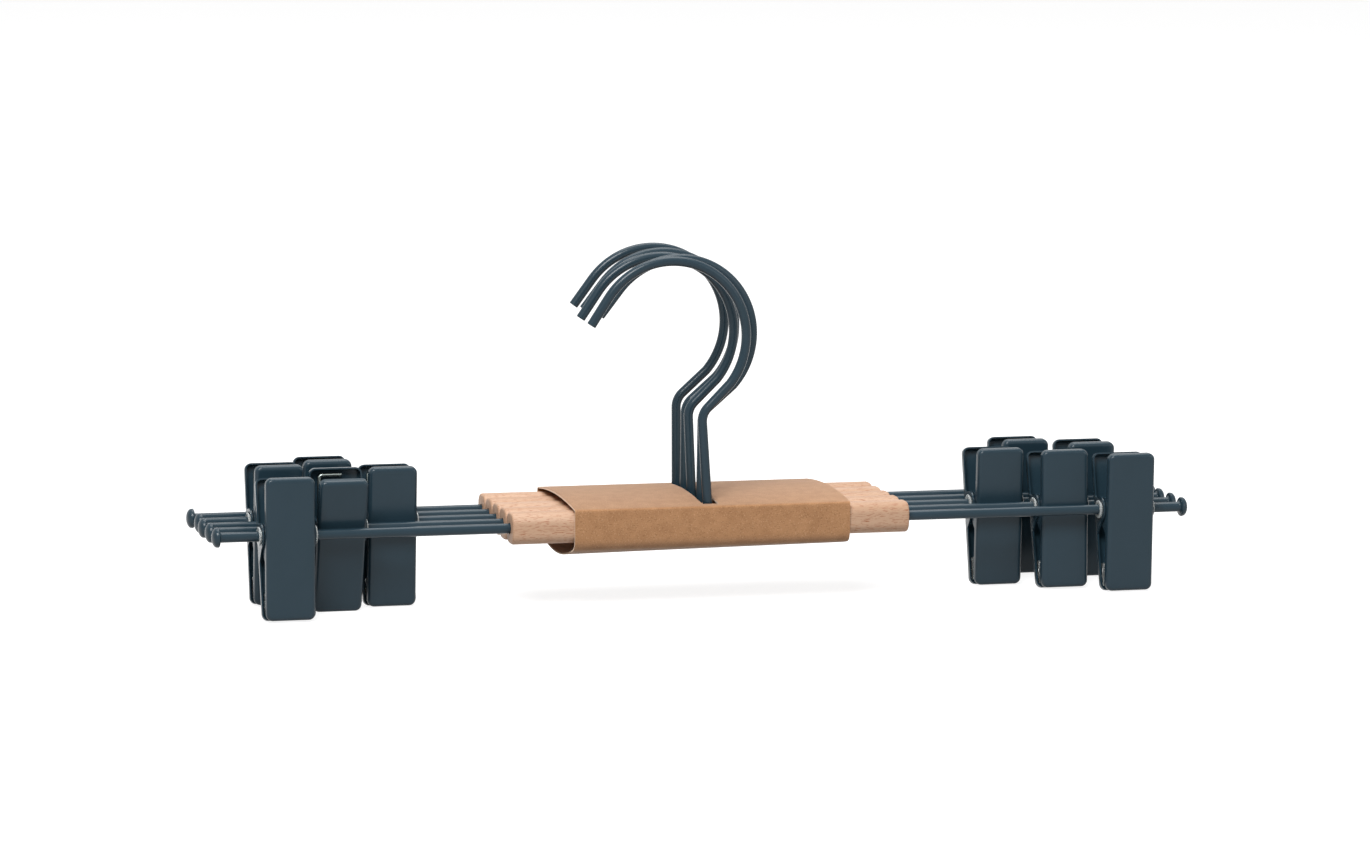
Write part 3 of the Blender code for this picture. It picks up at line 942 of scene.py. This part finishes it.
def slot_cutter(low, high):
    """The slot's outline, whose left edge is bowed, as a block through the top only."""
    stem = stem_x(low, high)
    middle_y = (low.y + high.y) / 2
    reach = rod_point(HANGERS[-1]).y - middle_y + SLOT_END_ROOM
    outline = [(stem + SLOT_RIGHT, -reach), (stem + SLOT_RIGHT, reach)]
    for step in range(SLOT_STEPS + 1):
        share = 1 - 2 * step / SLOT_STEPS
        bulge = SLOT_BULGE * (1 - share * share)
        outline.append((stem + SLOT_LEFT - bulge, reach * share))
    shape = bmesh.new()
    floor = [shape.verts.new((across, depth, 0)) for across, depth in outline]
    face = shape.faces.new(floor)
    raised = bmesh.ops.extrude_face_region(shape, geom=[face])
    top = [item for item in raised["geom"] if isinstance(item, bmesh.types.BMVert)]
    bmesh.ops.translate(shape, verts=top, vec=(0, 0, high.z - low.z))
    mesh = mesh_from(shape, "slot")
    mesh.materials.append(BOARD)
    mesh.materials.append(BOARD_EDGE)
    for face in mesh.polygons:
        face.material_index = 1
    return mesh


def add_sleeve():
    low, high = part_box("sleeve")
    mesh = cut_away(sleeve_mesh(low, high), slot_cutter(low, high))
    middle = Vector(((low.x + high.x) / 2, (low.y + high.y) / 2, rod_point(MIDDLE_HANGER).z))
    put("board_sleeve", mesh, Matrix.Translation(middle), BOARD, "kraft_board", "pack", "sleeve")
    print("sleeve faces:", len(mesh.polygons))


add_sleeve()

# %% [markdown]
# ## Jaws
#
# A jaw is pressed from thin sheet: a flat plate whose rim is turned in all round. At the top
# and bottom the rim is a short lip. At the sides it is a wall that widens into an ear with a
# hole for the bush. The sheet is drawn as rings round the plate's outline, each point of
# the rim going in as deep as the wall is at its height, and then it gets its thickness.

# %% The depth of a jaw's rim
JAW_STANDOFF = 0.0081
JAW_WALL = 0.0034
EAR_RADIUS = 0.0051
EAR_SPREAD = 0.0096
EAR_FOOT_DEGREES = 80
EAR_FILLET = 0.0010


def wall_depth(height):
    """How far the rim reaches in from the plate's face at a height above the rod."""
    foot = math.radians(EAR_FOOT_DEGREES)
    ear_foot = -EAR_RADIUS * math.sin(foot)
    ear_foot_depth = JAW_STANDOFF + EAR_RADIUS * math.cos(foot)
    above_fillet = EAR_RADIUS + EAR_FILLET - height
    if above_fillet <= 0 or height <= -EAR_SPREAD:
        return JAW_WALL
    if height > EAR_RADIUS:
        return JAW_WALL + EAR_FILLET - math.sqrt(EAR_FILLET ** 2 - above_fillet ** 2)
    if height < ear_foot:
        share = (height + EAR_SPREAD) / (ear_foot + EAR_SPREAD)
        return JAW_WALL + (ear_foot_depth - JAW_WALL) * share
    return JAW_STANDOFF + math.sqrt(max(0.0, EAR_RADIUS ** 2 - height ** 2))


# %% The outline of a jaw's plate
JAW_RISE = 0.0234
JAW_DROP = 0.0324
JAW_CORNER = 0.0026
CORNER_STEPS = 6
EAR_DEGREES = range(-EAR_FOOT_DEGREES, 91, 10)
FILLET_SHARES = (0.03, 0.2, 0.5, 1)
WALL_STEPS = 3


def side_heights():
    """Heights of the points along a jaw's side, close together on the ear."""
    bow = [EAR_RADIUS * math.sin(math.radians(degrees)) for degrees in EAR_DEGREES]
    fillet = [EAR_RADIUS + EAR_FILLET * share for share in FILLET_SHARES]
    top = JAW_RISE - JAW_CORNER
    foot = -JAW_DROP + JAW_CORNER
    wall = range(1, WALL_STEPS)
    upper = [fillet[-1] + (top - fillet[-1]) * step / WALL_STEPS for step in wall]
    lower = [foot + (-EAR_SPREAD - foot) * step / WALL_STEPS for step in (*wall, WALL_STEPS)]
    return lower + bow + fillet + upper


def plate_outline(width):
    """Points round the plate with their outward directions: across, up, outward."""
    half = width / 2
    reach = half - JAW_CORNER
    top = JAW_RISE - JAW_CORNER
    foot = -JAW_DROP + JAW_CORNER
    corners = ((reach, top, 0), (-reach, top, 90), (-reach, foot, 180), (reach, foot, 270))
    points = []
    for across, up, first in corners:
        for step in range(CORNER_STEPS + 1):
            angle = math.radians(first + 90 * step / CORNER_STEPS)
            outward = (math.cos(angle), math.sin(angle))
            place = (across + JAW_CORNER * outward[0], up + JAW_CORNER * outward[1])
            points.append((*place, outward))
        if first == 90:
            points += [(-half, height, (-1, 0)) for height in reversed(side_heights())]
        if first == 270:
            points += [(half, height, (1, 0)) for height in side_heights()]
    return points


# %% The pressed sheet
JAW_SHEET = 0.0006
JAW_BEND = 0.0015
BEND_STEPS = 5
PLATE_INSET = 0.0023
EAR_HOLE_RADIUS = 0.0033


def jaw_mesh(width):
    """A jaw with its plate at the front, upright, and its hole at the middle."""
    outline = plate_outline(width)
    steps = [(PLATE_INSET, 0)]
    for step in range(BEND_STEPS + 1):
        angle = math.pi / 2 * step / BEND_STEPS
        steps.append((JAW_BEND * (1 - math.sin(angle)), JAW_BEND * (1 - math.cos(angle))))
    rings = []
    for inset, depth in steps:
        rings.append([
            Vector((a - out[0] * inset, -JAW_STANDOFF + depth, u - out[1] * inset))
            for a, u, out in outline
        ])
    rings.append([Vector((a, -JAW_STANDOFF + wall_depth(u), u)) for a, u, _ in outline])
    shape = bmesh.new()
    rows = skin_rings(shape, rings)
    shape.faces.new(rows[0])
    mesh = mesh_from(shape, "jaw")
    if mesh.polygons[-1].normal.y > 0:
        mesh.flip_normals()
    obj = temporary(mesh)
    sheet = obj.modifiers.new("sheet", "SOLIDIFY")
    sheet.thickness = JAW_SHEET
    sheet.offset = -1
    sheet.use_even_offset = True
    hole = drill(EAR_HOLE_RADIUS, (-width, 0, 0), (1, 0, 0), 2 * width)
    return cut_away(settled(obj), hole)


# %% Place the jaws
JAW_ANGLE = math.radians(7.5)
LEAN_SHARES = {"left": (-1.15, 1, -0.65, -0.65, -0.5), "right": (-0.9, -1.3, -0.8, -0.5, -0.6)}
KINDS = ("front", "rear")


def clip_place(number, side):
    """On its rod. Most clips hang so that the front plate is nearly upright."""
    place = Matrix.Translation(JOINTS[f"clip_swing_{number}_{side}"]["pos_m"])
    lean = LEAN_SHARES[side][number - 1] * JAW_ANGLE
    return place @ Matrix.Rotation(lean, 4, "X")


def jaw_width(kind):
    low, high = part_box(f"{kind}_jaw_1_left")
    return high.x - low.x


CLIPS = [(k, side) for k in HANGERS for side in SIDES]
JAW_MESHES = {kind: jaw_mesh(jaw_width(kind)) for kind in KINDS}
JAW_TURNS = {
    "front": Matrix.Rotation(JAW_ANGLE, 4, "X"),
    "rear": Matrix.Rotation(math.pi, 4, "Z") @ Matrix.Rotation(JAW_ANGLE, 4, "X"),
}
for k, side in CLIPS:
    for kind in KINDS:
        node = f"{kind}_jaw_{k}_{side}"
        place = clip_place(k, side) @ JAW_TURNS[kind]
        put(f"{kind}_plate_{k}_{side}", JAW_MESHES[kind], place, STEEL, "coated_steel", node, node)
print("jaw faces:", {kind: len(mesh.polygons) for kind, mesh in JAW_MESHES.items()})

# %% [markdown]
# ## Pads
#
# A clear vinyl pad lines the lower end of each jaw, so that the clip doesn't mark the cloth.
# It is a soft block with a crinkled face. The block is a fine grid wrapped round a rounded
# box, and a little noise pushes its points in and out.

# %% Pads
PAD_WIDTH_ROOM = 0.0008
PAD_HEIGHT = 0.0095
PAD_THICKNESS = 0.0033
PAD_ROUND = 0.0008
PAD_FOOT = 0.0010
PAD_CUTS = 9
PAD_CRINKLE = 0.00022
CRINKLE_FINENESS = 900
FINER_CRINKLE = 2100
FINER_SHARE = 0.5


def pad_mesh(width):
    """A crinkled pad in place in its jaw, which is drawn as in the jaw's own mesh."""
    size = (width - 2 * (JAW_SHEET + PAD_WIDTH_ROOM), PAD_THICKNESS, PAD_HEIGHT)
    shape = bmesh.new()
    bmesh.ops.create_cube(shape, size=1, matrix=Matrix.Diagonal((*size, 1)))
    bmesh.ops.subdivide_edges(shape, edges=shape.edges[:], cuts=PAD_CUTS, use_grid_fill=True)
    half = Vector(size) / 2
    core = half - Vector((PAD_ROUND,) * 3)
    for vertex in shape.verts:
        inner = Vector(max(-c, min(c, v)) for v, c in zip(vertex.co, core))
        out = vertex.co - inner
        if out.length > 0:
            vertex.co = inner + out.normalized() * PAD_ROUND
            finer = FINER_SHARE * noise.noise(vertex.co * FINER_CRINKLE)
            crinkle = noise.noise(vertex.co * CRINKLE_FINENESS) + finer
            vertex.co += out.normalized() * crinkle * PAD_CRINKLE
    middle = (
        0,
        -JAW_STANDOFF + JAW_SHEET + PAD_THICKNESS / 2 + PAD_CRINKLE,
        -JAW_DROP + JAW_SHEET + PAD_FOOT + PAD_HEIGHT / 2,
    )
    bmesh.ops.translate(shape, verts=shape.verts, vec=middle)
    return mesh_from(shape, "pad")


PAD_MESHES = {kind: pad_mesh(jaw_width(kind)) for kind in KINDS}
for k, side in CLIPS:
    for kind in KINDS:
        place = clip_place(k, side) @ JAW_TURNS[kind]
        body = f"{kind}_jaw_{k}_{side}"
        put(f"{kind}_pad_{k}_{side}", PAD_MESHES[kind], place, PAD_VINYL, "clear_plastic", body)
print("pads:", 2 * len(CLIPS))

# %% [markdown]
# ## Bushes
#
# A clear plastic bush runs on the rod and carries the ears of both jaws between its two
# flanges, whose rims are rounded. It is turned as one closed profile.

# %% Bushes
BUSH_BORE = 0.0023
BARREL_RADIUS = 0.0030
FLANGE_RADIUS = 0.0037
FLANGE_THICKNESS = 0.0006
FLANGE_ROUND = 0.00025
FLANGE_STEPS = 4
BUSH_SIDES = 36


def bush_mesh():
    """Half the profile is drawn from the end inwards, and the other half mirrors it."""
    low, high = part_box("bush_1_left")
    end = (high.x - low.x) / 2
    shoulder = end - FLANGE_THICKNESS
    rim = FLANGE_RADIUS - FLANGE_ROUND
    half = [(end, BUSH_BORE)]
    half += arc_points((end - FLANGE_ROUND, rim), FLANGE_ROUND, 0, 90, FLANGE_STEPS)
    half += arc_points((shoulder + FLANGE_ROUND, rim), FLANGE_ROUND, 90, 180, FLANGE_STEPS)
    half.append((shoulder, BARREL_RADIUS))
    mirrored = [(-along, radius) for along, radius in reversed(half)]
    return turned_mesh("bush", half + mirrored, BUSH_SIDES, closed=True)


BUSH_MESH = bush_mesh()
for k, side in CLIPS:
    node = f"bush_{k}_{side}"
    place = clip_place(k, side)
    put(f"bush_tube_{k}_{side}", BUSH_MESH, place, BUSH_PLASTIC, "clear_plastic", node, node)
print("bush faces:", len(BUSH_MESH.polygons))

# %% [markdown]
# ## Springs
#
# The torsion spring winds round the bush. Each leg leaves the coil, jogs sideways, runs up
# the inside of its plate and turns along it. The legs' bright corners show between the
# plates. One path is worked out for the whole wire, so that it is unbroken. The springs at
# the right are wound the other way, which hides their rear legs as in the photo. Each
# spring is set in place at its clip as one stiff wire.

# %% The springs' legs
SPRING_WIRE_RADIUS = 0.0007
SPRING_LEG_HEIGHT = 0.0205
SPRING_JOG_HEIGHT = 0.0070
SPRING_LEG_REACH = 0.0063
SPRING_FOOT = 0.0090
SPRING_BEND_RADIUS = 0.0014
LEG_BEND_STEPS = 6
PLATE_ROOM = 0.0003


def on_plate(across, up, side):
    """A place where the wire lies inside a plate: -1 is the front jaw, 1 the rear one."""
    inner = JAW_STANDOFF - JAW_SHEET - PLATE_ROOM - SPRING_WIRE_RADIUS
    return Matrix.Rotation(-side * JAW_ANGLE, 4, "X") @ Vector((across, side * inner, up))


def spring_leg(side):
    """One leg from its free end down to the jog above the coil."""
    column = -side * SPRING_LEG_REACH
    points = [on_plate(column + side * SPRING_FOOT, SPRING_LEG_HEIGHT, side)]
    for step in range(LEG_BEND_STEPS + 1):
        angle = math.pi / 2 * step / LEG_BEND_STEPS
        across = column + side * SPRING_BEND_RADIUS * (1 - math.sin(angle))
        up = SPRING_LEG_HEIGHT - SPRING_BEND_RADIUS * (1 - math.cos(angle))
        points.append(on_plate(across, up, side))
    return points + [on_plate(column, SPRING_JOG_HEIGHT, side)]


# %% Wind the springs and place them
COIL_RADIUS = 0.0044
SPRING_TURNS = 3.5
SPRING_PITCH = 0.0022
CURL_POINTS = 28
SPRING_SIDES = 12
SPRING_EDGE = SPRING_WIRE_RADIUS / 5


def spring_path():
    """Points along the wire's middle: the front leg, the coil, and the rear leg."""
    steps = round(SPRING_TURNS * CURL_POINTS)
    half_coil = SPRING_TURNS * SPRING_PITCH / 2
    coil = []
    for step in range(steps + 1):
        angle = math.pi + 2 * math.pi * step / CURL_POINTS
        across = half_coil - SPRING_PITCH * step / CURL_POINTS
        ahead, up = COIL_RADIUS * math.cos(angle), COIL_RADIUS * math.sin(angle)
        coil.append(Vector((across, ahead, up)))
    return spring_leg(-1) + coil + spring_leg(1)[::-1]


def spring_mesh(side, hand):
    """The whole wire. A hand of -1 winds it the other way."""
    path = [Vector((hand * point.x, point.y, point.z)) for point in spring_path()]
    return tube_mesh(f"spring_{side}", path, SPRING_WIRE_RADIUS, SPRING_SIDES, SPRING_EDGE)


SPRING_MESHES = {"left": spring_mesh("left", 1), "right": spring_mesh("right", -1)}
for k, side in CLIPS:
    spring = bpy.data.objects.new(f"spring_wire_{k}_{side}", SPRING_MESHES[side].copy())
    bpy.context.scene.collection.objects.link(spring)
    spring.data.materials.append(BRIGHT)
    spring.matrix_world = clip_place(k, side)
    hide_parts(f"spring_{k}_{side}")
    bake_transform(spring)
print("spring faces:", [len(mesh.polygons) for mesh in SPRING_MESHES.values()])
